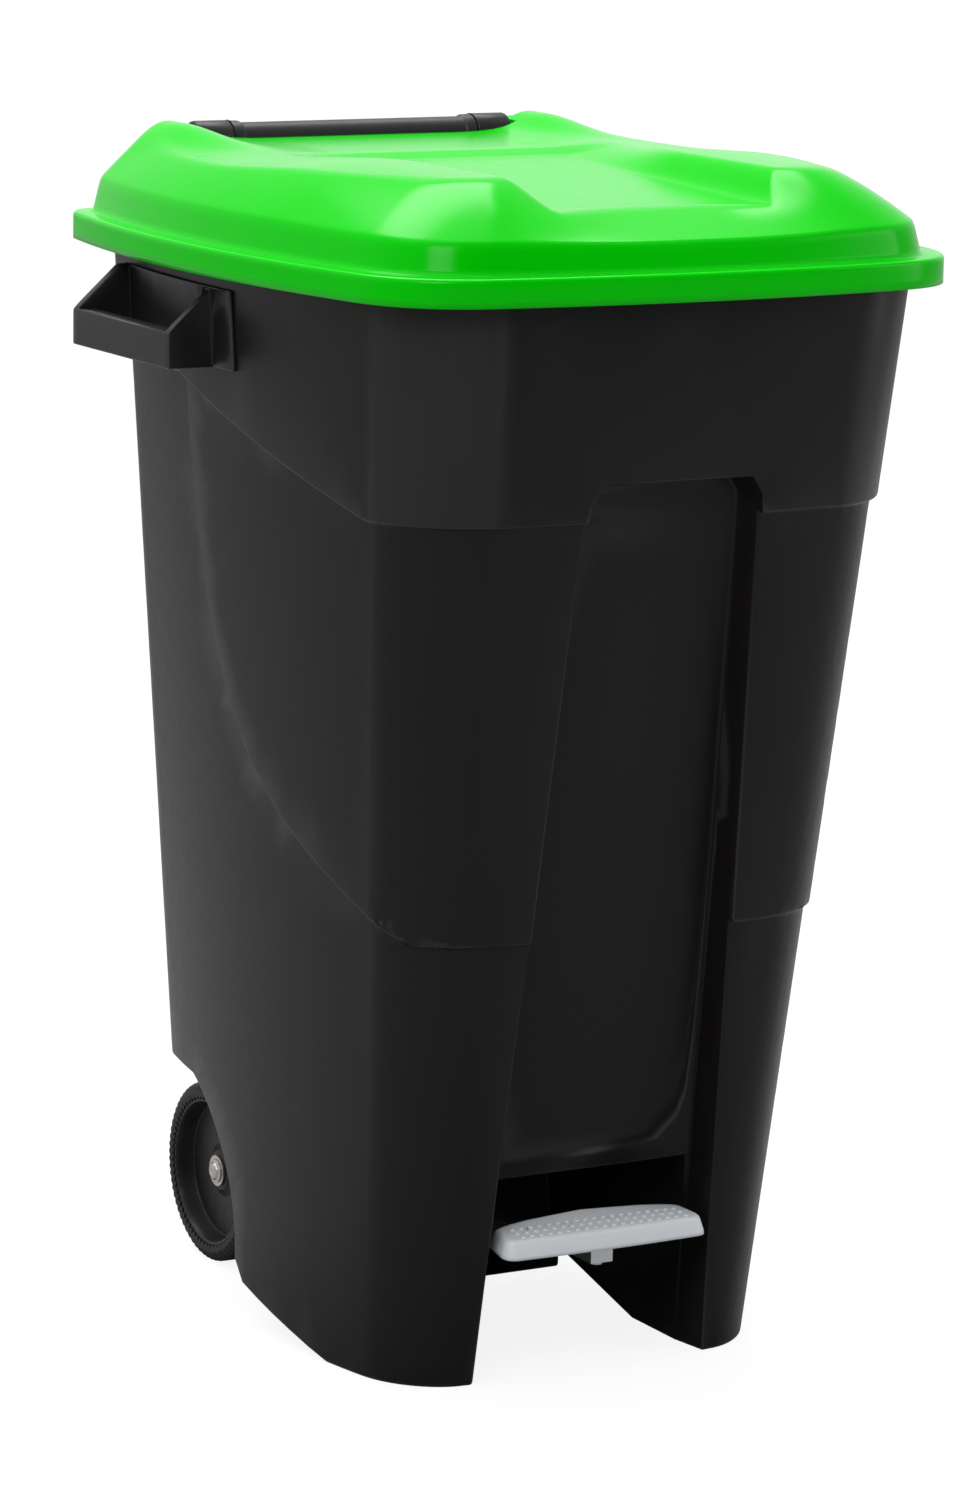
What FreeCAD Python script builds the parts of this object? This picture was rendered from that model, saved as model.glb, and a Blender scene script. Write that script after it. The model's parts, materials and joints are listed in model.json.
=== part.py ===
import FreeCAD, Part
import math
import os

from FreeCAD import Vector

# Pedal wheelie bin. Millimetres, +Z up, the pedal side faces -Y, the origin is on the floor.

# Tub
tub_height = 806.0
wall = 4.0
base_half_width = 174.0
top_half_width = 222.0
side_bow = 16.0
front_bow = 6.0
front_y_base = -160.0
front_lean = 0.131
rear_y_base = 215.0
rear_lean = 0.0176
front_corner_base = 50.0
front_corner_top = 62.0
rear_corner = 26.0
pod_floor = 12.0

# Raised bands on the tub
lower_band_step = 4.0
upper_band_step = 9.5
lower_band_z = 336.0
upper_band_z = 640.0
band_meet_y = 78.0
band_meet_z = 714.0

# Pedal channel and tunnel
channel_half_base = 98.0
channel_half_top = 70.7
channel_head_half = 59.0
channel_head_z = 667.0
channel_draft = 6.0
channel_depth_base = 37.0
channel_depth_top = 22.0
tunnel_height = 148.0
tunnel_end_y = 60.0

# Wheel bay
bay_front_y = 72.0
bay_roof_z = 172.0
bay_wall_height = 30.0
bay_wall_thickness = 5.0
bay_wall_clearance = 8.0
sill_start_y = -60.0

# Wheels and axle
wheel_radius = 70.0
wheel_width = 36.0
wheel_y = 221.0
wheel_inner_x = 91.0
tyre_depth = 11.0
hub_recess = 12.0
hub_radius = 17.0
rim_lip = 4.0
web_thickness = 5.0
axle_radius = 6.0
running_gap = 0.06
bush_wall = 3.0
boss_thickness = 14.0
boss_radius = 16.0
washer_thickness = 1.6
washer_gap = 0.4
washer_radius = 12.0
cap_length = 3.0
cap_radius = 9.0

# Rear grip tube and lid hinge
hinge_y = 242.0
grip_radius = 12.5
lug_radius = 14.5
hinge_z = tub_height + 74.0 - lug_radius
grip_wall = 2.0
grip_half_length = 126.0
lug_inner_x = 104.0
lug_outer_x = 134.0
lug_root_z = tub_height - 61.0
hinge_pin_radius = 6.0
hinge_side_gap = 1.0
knuckle_thickness = 11.0
knuckle_radius = 12.0

# Lid
rim_half_width = 256.0
rim_bow = 22.0
rim_front_y = -291.0
rim_rear_y = 258.0
rim_front_corner = 70.0
rim_rear_corner = 24.0
rim_front_bow = 12.0
skirt_bottom_z = tub_height - 10.0
skirt_height = 20.0
lid_wall = 3.0
ledge = 14.0
dome_rise = 52.0
dome_inset = 44.0
scoop_half_bottom = 92.0
scoop_half_top = 158.0
scoop_rear_y = 165.0
scoop_rear_depth = 5.0
scoop_front_depth = 18.0
lid_back_gap = 3.5

# Side handles
handle_reach = 265.0
handle_front_y = 10.0
handle_rear_y = 170.0
handle_bottom_z = tub_height - 80.0
handle_bar_height = 26.0
handle_bar_depth = 15.0
handle_rib_thickness = 7.0
handle_top_z = tub_height - 22.0
handle_foot = 30.0

# Lid opening linkage
rod_y = 204.0
rod_radius = 4.0
rod_bottom_z = 36.0
rod_channel_half = 15.0
rod_channel_front = 12.0
rod_guide_rear = 8.0
rod_pin_radius = 2.0
rod_top_pin_z = tub_height + 39.5
rod_low_pin_z = 45.0
rod_pin_half = 12.5
guide_gap = 0.4
guide_height = 14.0
guide_heights = {"upper_rod_guide": tub_height - 66.0, "lower_rod_guide": 240.0}
yoke_inner_x = 6.0
yoke_plate = 2.5
yoke_half_depth = 14.0
yoke_window_front = 9.0
yoke_window_rear = 8.5
yoke_window_low = 15.0
yoke_window_high = 10.0

# Pedal
pivot_y = 42.0
pivot_z = 60.0
pivot_radius = 5.0
lever_half = 9.0
lever_thickness = 12.0
lever_slot_half = 5.4
lever_window = 7.5
pedal_front_y = -183.0
pedal_rear_y = -134.0
pedal_half_front = 84.0
pedal_half_rear = 82.0
pedal_top_z = 111.0
pedal_rise = 6.0
pedal_thickness = 15.0
pedal_shell = 3.0
bracket_plate = 3.0
bracket_gap = 1.0
bracket_drop = 11.0
screw_radius = 2.5
screw_head_radius = 4.5
screw_head_height = 2.5

os.makedirs("parts", exist_ok=True)


def save(name, shape):
    """Write one named piece, as its own file."""
    shape.exportStep("parts/" + name + ".step")
    print(name, round(shape.Volume / 1000.0, 1), "cm3", "valid" if shape.isValid() else "INVALID")


def cylinder_x(radius, x_low, x_high, y, z):
    """A round bar along X."""
    return Part.makeCylinder(radius, x_high - x_low, Vector(x_low, y, z), Vector(1, 0, 0))


def cylinder_z(radius, x, y, z_low, z_high):
    """A round bar along Z."""
    return Part.makeCylinder(radius, z_high - z_low, Vector(x, y, z_low))


def block(x_low, x_high, y_low, y_high, z_low, z_high):
    """A rectangular block between two corners."""
    corner = Vector(x_low, y_low, z_low)
    return Part.makeBox(x_high - x_low, y_high - y_low, z_high - z_low, corner)


def plate_x(outline, x_low, x_high):
    """A flat piece cut to an outline of (y, z) points, from x_low to x_high."""
    points = [Vector(x_low, y, z) for y, z in outline]
    wire = Part.makePolygon(points + points[:1])
    return Part.Face(wire).extrude(Vector(x_high - x_low, 0, 0))


def mirrored(shape):
    """The same piece on the other side of the bin."""
    return shape.mirror(Vector(0, 0, 0), Vector(1, 0, 0))


def between(low, high, share):
    """A value part of the way from low to high."""
    return low + (high - low) * share


def bowed_ring(half, front, rear, corner_front, corner_rear, bow_side, bow_front, height):
    """A closed outline with bowed sides and round corners; height gives z at each (x, y)."""

    def at(x, y):
        return Vector(x, y, height(x, y))

    end = half - bow_side
    flat = front + bow_front
    middle = (flat + corner_front + rear - corner_rear) / 2.0
    front_turn = 2.0 * math.atan(bow_front / (end - corner_front))
    side_turn = 2.0 * math.atan(bow_side / (rear - corner_rear - middle))
    pull = 4.0 / 3.0 * (math.sqrt(2.0) - 1.0)

    def corner(side, x, y, x_start, y_start, x_end, y_end):
        """A smooth corner from (x_start, y_start) to (x_end, y_end), its poles pulled towards (x, y)."""
        poles = [(x_start, y_start), (between(x_start, x, pull), between(y_start, y, pull)),
                 (between(x_end, x, pull), between(y_end, y, pull)), (x_end, y_end)]
        edge = Part.BezierCurve()
        edge.setPoles([at(side * px, py) for px, py in poles])
        return edge.toShape()

    edges = []
    for side in (1, -1):
        a = (end - corner_front, flat)
        c = (end, flat + corner_front)
        e = (end, rear - corner_rear)
        g = (end - corner_rear, rear)
        front_x = end + math.tan(side_turn) * -corner_front
        front_y = flat + math.tan(front_turn) * corner_front
        rear_x = end - math.tan(side_turn) * corner_rear
        run = [corner(side, front_x, front_y, a[0], a[1], c[0], c[1]),
               Part.Arc(at(side * c[0], c[1]), at(side * half, middle), at(side * e[0], e[1])).toShape(),
               corner(side, rear_x, rear, e[0], e[1], g[0], g[1])]
        edges.append((at(side * a[0], a[1]), at(side * g[0], g[1]), run))
    front_edge = Part.Arc(edges[1][0], at(0, front), edges[0][0]).toShape()
    rear_edge = Part.makeLine(edges[0][1], edges[1][1])
    return Part.Wire(Part.__sortEdges__([front_edge] + edges[0][2] + [rear_edge] + edges[1][2]))


def tub_ring(z, grow_side, grow_rear):
    """The tub's outline at height z, grown outwards by a step or inwards by a wall."""
    half = between(base_half_width, top_half_width, z / tub_height) + grow_side
    front = front_y_base - front_lean * z - grow_side
    rear = rear_y_base + rear_lean * z + grow_rear
    front_radius = between(front_corner_base, front_corner_top, z / tub_height) + grow_side
    rear_radius = rear_corner + grow_rear
    return bowed_ring(half, front, rear, front_radius, rear_radius, side_bow, front_bow, lambda x, y: z)


def tub_loft(z_low, z_high, grow_side, grow_rear):
    """A solid between two of the tub's outlines."""
    rings = [tub_ring(z_low, grow_side, grow_rear), tub_ring(z_high, grow_side, grow_rear)]
    return Part.makeLoft(rings, True, True)


def side_profile(edges):
    """A solid across the whole bin, from an outline of edges in the YZ plane."""
    reach = 2.0 * handle_reach
    wire = Part.Wire(Part.__sortEdges__(edges))
    return Part.Face(wire).extrude(Vector(2.0 * reach, 0, 0)).translated(Vector(-reach, 0, 0))


def chain(points):
    """Straight edges through (y, z) points in the YZ plane."""
    places = [Vector(0, y, z) for y, z in points]
    return [Part.makeLine(a, b) for a, b in zip(places[:-1], places[1:])]


def curve(points):
    """One smooth edge through (y, z) points in the YZ plane."""
    spline = Part.BSplineCurve()
    spline.interpolate([Vector(0, y, z) for y, z in points])
    return spline.toShape()


def band_region(sweep, far_rear_z):
    """Everything above a sweeping side line and above the band's straight front edge."""
    front = 3.0 * front_y_base
    sky = 2.0 * tub_height
    first = sweep[0]
    last = sweep[-1]
    rim = [last, (rear_y_base * 2.0, far_rear_z), (rear_y_base * 2.0, sky), (front, sky)]
    return side_profile([curve(sweep)] + chain(rim + [(front, first[1]), first]))


def channel_solid(grow):
    """The hollow up the front, wider at the foot, with a narrower head."""
    levels = [
        (-1.0, channel_half_base),
        (upper_band_z, channel_half_top),
        (between(upper_band_z, channel_head_z, 0.55), channel_half_top - 2.5),
        (channel_head_z, channel_head_half),
    ]
    rings = []
    for z, half in levels:
        share = (z - tunnel_height) / (channel_head_z - tunnel_height)
        depth = between(channel_depth_base, channel_depth_top, share)
        face = front_y_base - front_lean * z - lower_band_step
        height = z + (grow if z == channel_head_z else 0.0)
        outer = half + grow
        inner = half - channel_draft + grow
        back = face + depth + grow
        outline = [(-outer, 3 * front_y_base), (outer, 3 * front_y_base), (outer, face),
                   (inner, back), (-inner, back), (-outer, face)]
        points = [Vector(x, y, height) for x, y in outline]
        rings.append(Part.makePolygon(points + points[:1]))
    return Part.makeLoft(rings, True, True)


def tunnel_solid(grow):
    """The space under the middle of the tub that the pedal lever works in."""
    low = channel_half_base - channel_draft + grow
    high = low - 8.0
    top = tunnel_height + grow
    front = front_y_base - channel_depth_base
    end = tunnel_end_y + grow
    rings = []
    for z, half in ((-1.0, low), (top, high)):
        outline = [(-half, front), (half, front), (half, end), (-half, end)]
        points = [Vector(x, y, z) for x, y in outline]
        rings.append(Part.makePolygon(points + points[:1]))
    return Part.makeLoft(rings, True, True)


def underside_solid(grow):
    """The sloping sill, the wheel arch and the bay behind it, cut from side to side."""
    low_arch = (bay_front_y - grow, 46.0)
    mid_arch = (bay_front_y + 12.0 - 0.8 * grow, bay_roof_z - 50.0 + 0.6 * grow)
    top_arch = (bay_front_y + 70.0 - 0.2 * grow, bay_roof_z + grow)
    far = 2.0 * rear_y_base
    arc = Part.Arc(*[Vector(0, y, z) for y, z in (low_arch, mid_arch, top_arch)]).toShape()
    start = [(far, bay_roof_z + 10.0 + grow), (far, -2.0 * wall), (sill_start_y, -2.0 * wall)]
    sill = [(sill_start_y, grow), (tunnel_end_y - grow, bay_wall_height + grow), low_arch]
    return side_profile([arc] + chain([top_arch] + start + sill))


def rod_channel(grow):
    """The groove up the back that the lift rod runs in."""
    return block(-rod_channel_half - grow, rod_channel_half + grow, rod_y - rod_channel_front - grow,
                 2.0 * rear_y_base, -1.0, tub_height + 1.0)


# Tub
lower_sweep = [(front_y_base - 15.0, lower_band_z), (-138.0, 355.0), (-65.0, 393.0), (1.0, 444.0),
               (50.0, 529.0), (74.0, 640.0), (band_meet_y, band_meet_z)]
upper_sweep = [(front_y_base - 15.0, upper_band_z), (-111.0, 658.0), (0.0, 690.0), (band_meet_y, band_meet_z)]
body = tub_loft(0.0, tub_height, 0.0, 0.0)
lower_band = tub_loft(0.0, tub_height, lower_band_step, 0.0).common(band_region(lower_sweep, band_meet_z))
upper_band = tub_loft(0.0, tub_height, upper_band_step, 0.0).common(band_region(upper_sweep, band_meet_z))
outer = body.fuse(lower_band).fuse(upper_band)
cavity = tub_loft(pod_floor, tub_height, -wall, -wall)
cavity = cavity.cut(channel_solid(wall)).cut(tunnel_solid(wall))
cavity = cavity.cut(underside_solid(wall)).cut(rod_channel(wall))
tub = outer.cut(channel_solid(0.0)).cut(tunnel_solid(0.0)).cut(underside_solid(0.0))
lever_room = lever_half + 4.0
lever_opening = block(-lever_room, lever_room, tunnel_end_y - 20.0, bay_front_y + 40.0, 24.0, 104.0)
bay_wall = block(-channel_half_base, channel_half_base, tunnel_end_y, tunnel_end_y + bay_wall_thickness,
                 bay_wall_clearance, bay_wall_height + 20.0)
tub = tub.cut(rod_channel(0.0)).cut(cavity).fuse(bay_wall).cut(lever_opening)


def handle_lug(side):
    """One of the two tub lugs that hold the grip tube, on its own rib up the back wall."""
    x_low = min(side * lug_inner_x, side * lug_outer_x)
    x_high = max(side * lug_inner_x, side * lug_outer_x)
    wall_y = rear_y_base + rear_lean * lug_root_z
    outline = [(wall_y - 1.0, lug_root_z), (hinge_y, lug_root_z + 30.0),
               (hinge_y + lug_radius, hinge_z - 40.0), (hinge_y + lug_radius, hinge_z),
               (hinge_y - lug_radius + 3.0, hinge_z),
               (hinge_y - lug_radius + 3.0, tub_height), (wall_y - 1.0, tub_height - 1.0)]
    lug = plate_x(outline, x_low, x_high).fuse(cylinder_x(lug_radius, x_low, x_high, hinge_y, hinge_z))
    seat_low = min(side * (lug_inner_x - 1.0), side * grip_half_length)
    seat_high = max(side * (lug_inner_x - 1.0), side * grip_half_length)
    lug = lug.cut(cylinder_x(grip_radius, seat_low, seat_high, hinge_y, hinge_z))
    return lug.cut(cylinder_x(hinge_pin_radius + running_gap, x_low - 1.0, x_high + 1.0, hinge_y, hinge_z))


def axle_boss(side):
    """A thick rib under the bay roof with the axle's hole in it."""
    far = wheel_inner_x - washer_thickness - washer_gap
    x_low = min(side * far, side * (far - boss_thickness))
    x_high = max(side * far, side * (far - boss_thickness))
    roof = bay_roof_z + 8.0
    outline = [(bay_front_y + 60.0, roof), (rear_y_base, roof), (rear_y_base, bay_roof_z - 12.0),
               (wheel_y + boss_radius, wheel_radius), (wheel_y - boss_radius, wheel_radius)]
    boss = plate_x(outline, x_low, x_high)
    boss = boss.fuse(cylinder_x(boss_radius, x_low, x_high, wheel_y, wheel_radius))
    return boss.cut(cylinder_x(axle_radius, x_low - 1.0, x_high + 1.0, wheel_y, wheel_radius))


for side in (1, -1):
    tub = tub.fuse(handle_lug(side)).fuse(axle_boss(side))
save("tub", tub)


# Side handles
def side_handle():
    """The clip-on handle: a grip bar on two ribs, with a foot against the tub's side."""
    reach = -handle_reach
    inner = -top_half_width + 30.0
    bar_top = handle_bottom_z + handle_bar_height
    rib = [(inner, handle_bottom_z), (reach, handle_bottom_z), (reach, bar_top), (reach + 6.0, bar_top + 6.0),
           (-top_half_width - 8.0, handle_top_z), (inner, handle_top_z)]
    pieces = []
    for y_low in (handle_front_y, handle_rear_y - handle_rib_thickness):
        points = [Vector(x, y_low, z) for x, z in rib]
        face = Part.Face(Part.makePolygon(points + points[:1]))
        pieces.append(face.extrude(Vector(0, handle_rib_thickness, 0)))
    bar = block(reach, reach + handle_bar_depth, handle_front_y, handle_rear_y, handle_bottom_z, bar_top)
    hollow = block(reach + 3.0, reach + handle_bar_depth - 3.0, handle_front_y + handle_rib_thickness,
                   handle_rear_y - handle_rib_thickness, handle_bottom_z - 1.0, bar_top - 3.5)
    foot = tub_loft(handle_bottom_z, handle_top_z, upper_band_step + 3.0, 0.0)
    foot = foot.common(block(-2.0 * handle_reach, 0.0, handle_front_y - handle_foot, handle_rear_y + 6.0,
                             handle_bottom_z, handle_top_z))
    handle = bar.cut(hollow).fuse(foot)
    for piece in pieces:
        handle = handle.fuse(piece)
    return handle.cut(outer)


handle = side_handle()
save("side_handle_left", handle)
save("side_handle_right", mirrored(handle))

# Grip tube and its hinge pins
grip = cylinder_x(grip_radius, -grip_half_length, grip_half_length, hinge_y, hinge_z)
bore = cylinder_x(grip_radius - grip_wall, -2 * grip_half_length, 2 * grip_half_length, hinge_y, hinge_z)
save("grip_tube", grip.cut(bore))
knuckle_inner = lug_outer_x + hinge_side_gap
knuckle_outer = knuckle_inner + knuckle_thickness
hinge_pin = cylinder_x(hinge_pin_radius, grip_half_length + 0.5, knuckle_outer, hinge_y, hinge_z)
save("hinge_pin_right", hinge_pin)
save("hinge_pin_left", mirrored(hinge_pin))


# Lid
def rim_ring(inset, height):
    """The lid's outline, set in from the rim's edge, at the height that the function gives."""
    return bowed_ring(rim_half_width - inset, rim_front_y + inset, rim_rear_y - 0.3 * inset,
                      rim_front_corner - 0.5 * inset, rim_rear_corner, rim_bow, rim_front_bow, height)


def flat(z):
    """A level height."""
    return lambda x, y: z


def lid_shape(shrink):
    """Skirt, ledge and dome as one solid, shrunk by a wall for its inside."""
    ledge_z = skirt_bottom_z + skirt_height - shrink
    top = ledge_z + dome_rise
    skirt_rings = [rim_ring(shrink, flat(skirt_bottom_z - shrink)), rim_ring(shrink, flat(ledge_z))]
    skirt = Part.makeLoft(skirt_rings, True, True)
    shoulder = between(ledge_z, top, 0.6)
    rings = [rim_ring(ledge + shrink, flat(ledge_z - 1.0)),
             rim_ring(ledge + 0.35 * dome_inset + shrink, flat(shoulder)),
             rim_ring(ledge + dome_inset + shrink, flat(top))]
    return skirt.fuse(Part.makeLoft(rings, True, True))


lid_top = skirt_bottom_z + skirt_height + dome_rise


def scoop_solid(grow):
    """The dish in the lid's top, open to the front and deeper there, grown by a wall."""
    rings = []
    for y, depth in ((rim_front_y - 1.0, scoop_front_depth), (scoop_rear_y + grow, scoop_rear_depth)):
        base = lid_top - depth - grow
        sky = lid_top + 20.0
        spread = (scoop_half_top - scoop_half_bottom) * (sky - base) / scoop_front_depth
        low = scoop_half_bottom + grow
        outline = [(-low, base), (low, base), (low + spread, sky), (-low - spread, sky)]
        points = [Vector(x, y, z) for x, z in outline]
        rings.append(Part.makePolygon(points + points[:1]))
    return Part.makeLoft(rings, True, True)


lid_back_y = hinge_y - lug_radius - lid_back_gap
lid_inside = lid_shape(lid_wall).cut(scoop_solid(lid_wall))
back_half = knuckle_outer + lid_wall
inside_rear = block(-back_half, back_half, lid_back_y - lid_wall, 2 * rear_y_base, 0.0, 2 * tub_height)
lid = lid_shape(0.0).cut(scoop_solid(0.0)).cut(lid_inside.cut(inside_rear))
lug_room = block(-knuckle_inner, knuckle_inner, lid_back_y, 2 * rear_y_base, 0.0, 2 * tub_height)
lid = lid.cut(lug_room)
rear_skirt = block(-2 * rim_half_width, 2 * rim_half_width, lid_back_y - lid_wall - 1.0, 2 * rear_y_base,
                   skirt_bottom_z - lid_wall, tub_height + 3.0)
lid = lid.cut(rear_skirt.common(lid_shape(lid_wall).fuse(inside_rear)))
corner_half = rim_half_width - rim_bow - lid_wall - 2.0
lid = lid.cut(block(-corner_half, corner_half, lid_back_y, 2 * rear_y_base, 0.0, tub_height + 5.0))
rod_notch = block(-yoke_inner_x - 7.0, yoke_inner_x + 7.0, lid_back_y - 2 * lid_wall, 2 * rear_y_base,
                  0.0, lid_top - lid_wall)
lid = lid.cut(rod_notch)
knuckle_foot_z = skirt_bottom_z + skirt_height + 4.0
knuckle_outline = [(lid_back_y - 12.0, knuckle_foot_z), (hinge_y + 2.0, knuckle_foot_z),
                   (hinge_y + knuckle_radius, hinge_z), (lid_back_y - 12.0, hinge_z)]
knuckle = plate_x(knuckle_outline, knuckle_inner, knuckle_outer)
knuckle = knuckle.fuse(cylinder_x(knuckle_radius, knuckle_inner, knuckle_outer, hinge_y, hinge_z))
lid = lid.fuse(knuckle).fuse(mirrored(knuckle))
lid = lid.cut(cylinder_x(hinge_pin_radius, -knuckle_outer - 1.0, knuckle_outer + 1.0, hinge_y, hinge_z))
save("lid", lid)


# Axle, wheels and what holds them
wheel_outer_x = wheel_inner_x + wheel_width
hub_end = wheel_outer_x - hub_recess
cap_start = hub_end + washer_gap + washer_thickness
axle_half = cap_start + cap_length
save("axle", cylinder_x(axle_radius, -axle_half, axle_half, wheel_y, wheel_radius))


def ring_x(outer_radius, inner_radius, x_low, x_high):
    """A ring on the axle's line."""
    ring = cylinder_x(outer_radius, x_low, x_high, wheel_y, wheel_radius)
    return ring.cut(cylinder_x(inner_radius, x_low - 1.0, x_high + 1.0, wheel_y, wheel_radius))


def wheel_profile(points):
    """A solid turned about the axle from (x, radius) points."""
    places = [Vector(x, wheel_y, wheel_radius + radius) for x, radius in points]
    face = Part.Face(Part.makePolygon(places + places[:1]))
    return face.revolve(Vector(0, wheel_y, wheel_radius), Vector(1, 0, 0), 360.0)


tyre_inner_radius = wheel_radius - tyre_depth
bush_radius = axle_radius + running_gap + bush_wall
web_low = wheel_inner_x + 0.4 * wheel_width
web_high = web_low + web_thickness
wheel = wheel_profile([
    (wheel_inner_x, bush_radius), (hub_end, bush_radius), (hub_end, hub_radius - 2.0),
    (hub_end - 2.0, hub_radius), (web_high, hub_radius + 4.0),
    (web_high, tyre_inner_radius - rim_lip - 3.0),
    (wheel_outer_x - 2.0, tyre_inner_radius - rim_lip), (wheel_outer_x - 2.0, tyre_inner_radius),
    (wheel_inner_x + 2.0, tyre_inner_radius), (wheel_inner_x + 2.0, tyre_inner_radius - rim_lip),
    (web_low, tyre_inner_radius - rim_lip - 3.0), (web_low, hub_radius + 4.0), (wheel_inner_x, hub_radius),
])
tyre = wheel_profile([
    (wheel_inner_x + 1.0, tyre_inner_radius), (wheel_outer_x - 1.0, tyre_inner_radius),
    (wheel_outer_x, wheel_radius - 5.0), (wheel_outer_x - 3.0, wheel_radius - 1.0),
    (wheel_outer_x - 7.0, wheel_radius), (wheel_inner_x + 7.0, wheel_radius),
    (wheel_inner_x + 3.0, wheel_radius - 1.0), (wheel_inner_x, wheel_radius - 5.0),
])
bush = ring_x(bush_radius, axle_radius + running_gap, wheel_inner_x, hub_end)
inner_face = wheel_inner_x - washer_gap
inner_washer = ring_x(washer_radius, axle_radius, inner_face - washer_thickness, inner_face)
outer_washer = ring_x(washer_radius, axle_radius, hub_end + washer_gap, cap_start)
cap = cylinder_x(cap_radius, cap_start, axle_half + 1.5, wheel_y, wheel_radius)
cap = cap.cut(cylinder_x(axle_radius, cap_start - 1.0, axle_half, wheel_y, wheel_radius))
for name, piece in (("wheel", wheel), ("tyre", tyre), ("wheel_bush", bush), ("inner_washer", inner_washer),
                    ("outer_washer", outer_washer), ("axle_cap", cap)):
    save(name + "_right", piece)
    save(name + "_left", mirrored(piece))

# Lift rod and its guides
rod = cylinder_z(rod_radius, 0.0, rod_y, rod_bottom_z, rod_top_pin_z + 2.0 * rod_pin_radius)
rod = rod.cut(cylinder_x(rod_pin_radius, -20.0, 20.0, rod_y, rod_top_pin_z))
rod = rod.cut(cylinder_x(rod_pin_radius, -20.0, 20.0, rod_y, rod_low_pin_z))
save("lift_rod", rod)
save("rod_top_pin", cylinder_x(rod_pin_radius, -rod_pin_half, rod_pin_half, rod_y, rod_top_pin_z))
save("rod_low_pin", cylinder_x(rod_pin_radius, -rod_pin_half, rod_pin_half, rod_y, rod_low_pin_z))


def window(y, z, front, rear, low, high, half):
    """A slot through from side to side, around the point (y, z)."""
    return block(-half, half, y - front, y + rear, z - low, z + high)


# Yoke under the lid that the rod's top pin pushes
yoke_roof = lid_top - lid_wall
yoke_outer_x = yoke_inner_x + yoke_plate
yoke_front = rod_y - yoke_half_depth
cheek = block(yoke_inner_x, yoke_outer_x, yoke_front, rod_y + 15.0, rod_top_pin_z - 19.0, yoke_roof)
bridge = block(-yoke_outer_x, yoke_outer_x, yoke_front - 14.0, yoke_front, yoke_roof - yoke_plate, yoke_roof)
yoke = bridge.fuse(cheek).fuse(mirrored(cheek))
yoke = yoke.cut(window(rod_y, rod_top_pin_z, yoke_window_front, yoke_window_rear, yoke_window_low,
                       yoke_window_high, 3.0 * yoke_outer_x))

# Pivot bracket in the tunnel, its pin, and the pedal lever
bracket_inner_x = lever_half + bracket_gap
bracket_outer_x = bracket_inner_x + bracket_plate
ear = block(bracket_inner_x, bracket_outer_x, pivot_y - bracket_drop, tunnel_end_y, pivot_z - bracket_drop,
            pivot_z + bracket_drop)
foot_half = bracket_outer_x + 16.0
foot_plate = block(bracket_inner_x, foot_half, tunnel_end_y - bracket_plate, tunnel_end_y,
                   pivot_z - bracket_drop, pivot_z + bracket_drop)
bracket = ear.fuse(foot_plate)
bracket = bracket.cut(cylinder_x(pivot_radius, 0.0, 2.0 * foot_half, pivot_y, pivot_z))
pin = cylinder_x(pivot_radius, -bracket_outer_x - 3.0, bracket_outer_x + 3.0, pivot_y, pivot_z)
save("pedal_pivot_pin", pin)


def screw_y(x, y, z, length):
    """A round-headed screw driven along +Y, its head on the near side."""
    seat = Vector(x, y - screw_head_height, z)
    head = Part.makeCylinder(screw_head_radius, screw_head_height, seat, Vector(0, 1, 0))
    return head.fuse(Part.makeCylinder(screw_radius, length, Vector(x, y, z), Vector(0, 1, 0)))


def screw_up(x, y, z, length):
    """A round-headed screw driven upwards, its head below."""
    head = Part.makeCylinder(screw_head_radius, screw_head_height, Vector(x, y, z - screw_head_height))
    return head.fuse(Part.makeCylinder(screw_radius, length, Vector(x, y, z)))


# Pedal: lever, tread and screws
lever_rear = (rod_y + 8.0, rod_low_pin_z)
half_depth = lever_thickness / 2.0
tread_under_z = pedal_top_z - pedal_thickness
lever_outline = [
    (pedal_front_y + 12.0, tread_under_z), (pedal_rear_y - 4.0, tread_under_z),
    (pivot_y, pivot_z + lever_thickness), (lever_rear[0], rod_low_pin_z + half_depth + 4.0),
    (lever_rear[0], rod_low_pin_z - half_depth - 4.0), (pivot_y, pivot_z - lever_thickness),
    (pedal_rear_y, tread_under_z - lever_thickness), (pedal_front_y + 12.0, tread_under_z - lever_thickness),
]
lever = plate_x(lever_outline, -lever_half, lever_half)
lever = lever.cut(block(-lever_slot_half, lever_slot_half, rod_y - 12.0, rod_y + 20.0, 0.0, 2.0 * pivot_z))
lever = lever.cut(window(rod_y, rod_low_pin_z, lever_window - 3.0, lever_window - 1.3, lever_window - 1.0,
                         lever_window - 2.0, 2.0 * lever_half))
lever = lever.cut(cylinder_x(pivot_radius + running_gap, -20.0, 20.0, pivot_y, pivot_z))


def tread_level(z, inset):
    """One outline of the pedal tread, wider at the back, set in by a margin."""
    front = pedal_front_y + inset
    rear = pedal_rear_y - inset
    outline = [(-pedal_half_front + inset, front), (pedal_half_front - inset, front),
               (pedal_half_rear - inset, rear), (-pedal_half_rear + inset, rear)]
    middle = (pedal_front_y + pedal_rear_y) / 2.0
    points = [Vector(x, y, z + (pedal_rise if y > middle else 0.0)) for x, y in outline]
    return Part.makePolygon(points + points[:1])


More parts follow.
